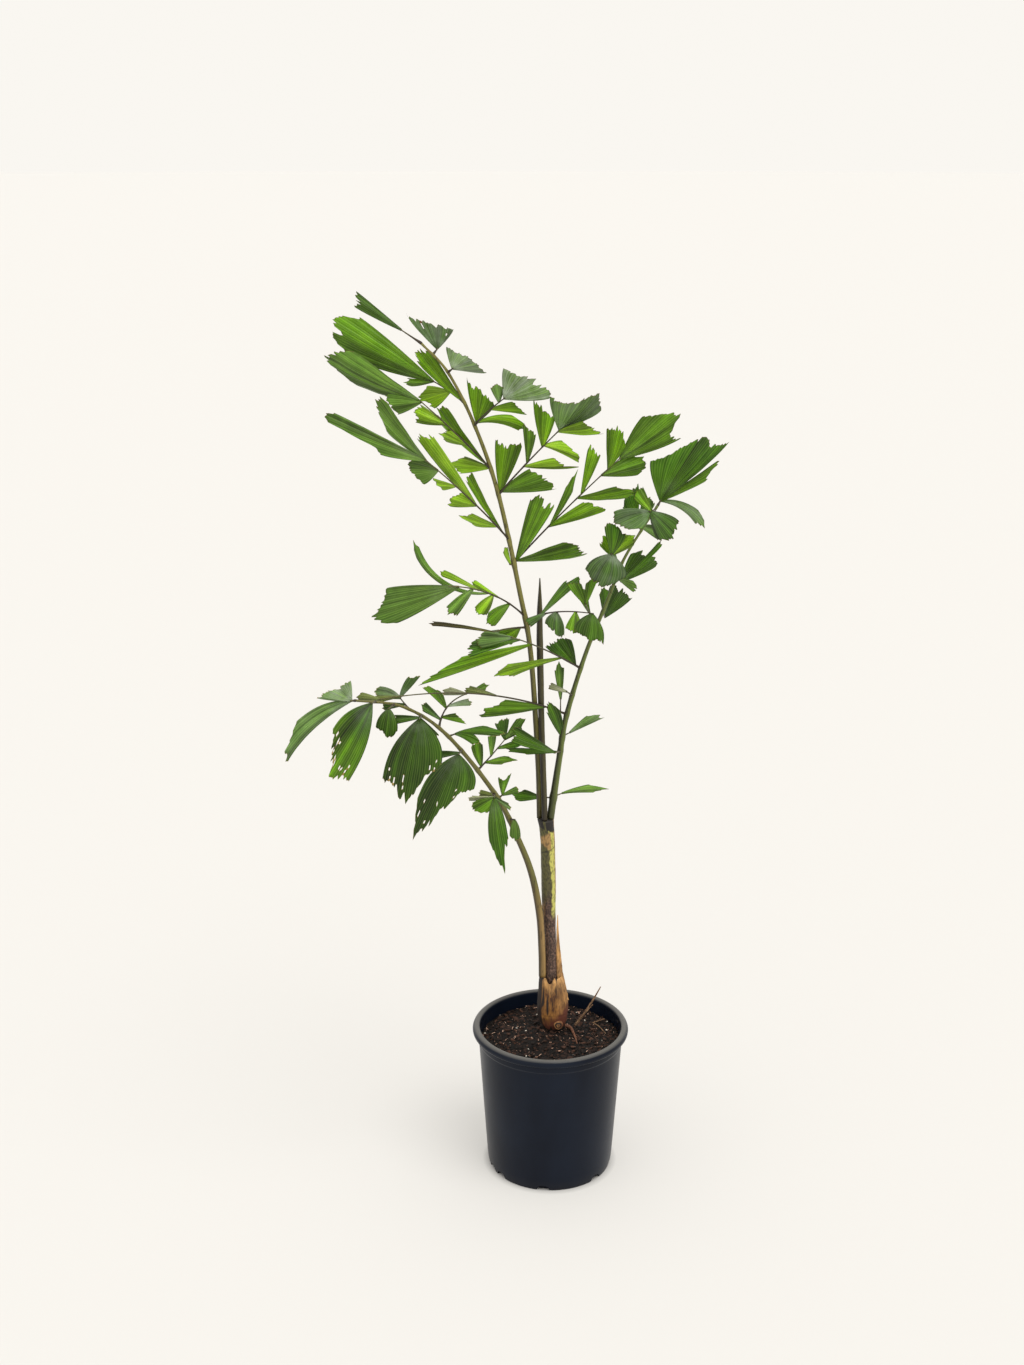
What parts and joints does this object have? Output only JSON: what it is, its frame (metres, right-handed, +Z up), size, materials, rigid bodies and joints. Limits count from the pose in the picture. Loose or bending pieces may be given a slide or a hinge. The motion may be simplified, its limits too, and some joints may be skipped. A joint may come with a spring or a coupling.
{
  "type": "potted palm",
  "caption": "Young fishtail palm with ragged wedge-shaped leaflets on arching side ribs, growing in bark compost in a round tapered nursery pot with a rolled rim.",
  "frame": {"origin": "middle of the pot's underside, where the plant stands on the floor", "axes": "+Z up along the plant's height, -Y towards the viewer in the picture, +X to the viewer's right"},
  "size_m": [0.662, 0.3022, 1.4293],
  "materials": {
    "pot_plastic": "dull blue-black moulded plastic",
    "bark_compost": "moist bark compost",
    "stem_husk": "golden brown husk below, grey-brown stem above",
    "dry_sheath": "dry tan leaf sheath",
    "litter": "dry brown root and stick",
    "stalk": "olive to dark brown stalk skin",
    "tall_leaf": "yellow-green leaf with a waxy sheen",
    "right_leaf": "dark green leaf with a waxy sheen",
    "low_leaf": "mid green leaf with a waxy sheen"
  },
  "bodies": {
    "root": {"dead_stick": "litter", "dry_sheath": "dry_sheath", "low_back_left": "low_leaf", "low_back_long": "low_leaf", "low_back_mid": "low_leaf", "low_back_near": "low_leaf", "low_foot_small": "low_leaf", "low_hang_broad": "low_leaf", "low_hang_end": "low_leaf", "low_hang_mid": "low_leaf", "low_hang_near": "low_leaf", "low_hang_small": "low_leaf", "low_stalk": "stalk", "low_tip": "low_leaf", "low_top_back": "low_leaf", "pot": "pot_plastic", "potting_bark": "bark_compost", "right_back_high": "right_leaf", "right_back_low": "right_leaf", "right_back_mid": "right_leaf", "right_foot_left": "right_leaf", "right_foot_right": "right_leaf", "right_front_high": "right_leaf", "right_front_low": "right_leaf", "right_front_mid": "right_leaf", "right_left_mid": "right_leaf", "right_low_back": "right_leaf", "right_low_leaf": "right_leaf", "right_low_left": "right_leaf", "right_small_grey": "right_leaf", "right_spike": "right_leaf", "right_stalk": "stalk", "right_tip": "right_leaf", "small_twig": "litter", "spear": "stalk", "stem": "stem_husk", "surface_root": "litter", "tall_fan_side": "tall_leaf", "tall_fan_top": "tall_leaf", "tall_foot_small": "tall_leaf", "tall_left_high": "tall_leaf", "tall_left_low": "tall_leaf", "tall_left_mid": "tall_leaf", "tall_low_dry": "tall_leaf", "tall_low_left": "tall_leaf", "tall_low_right": "tall_leaf", "tall_right_high": "tall_leaf", "tall_right_low": "tall_leaf", "tall_right_mid": "tall_leaf", "tall_stalk": "stalk", "tall_tip": "tall_leaf"}
  },
  "joints": []
}
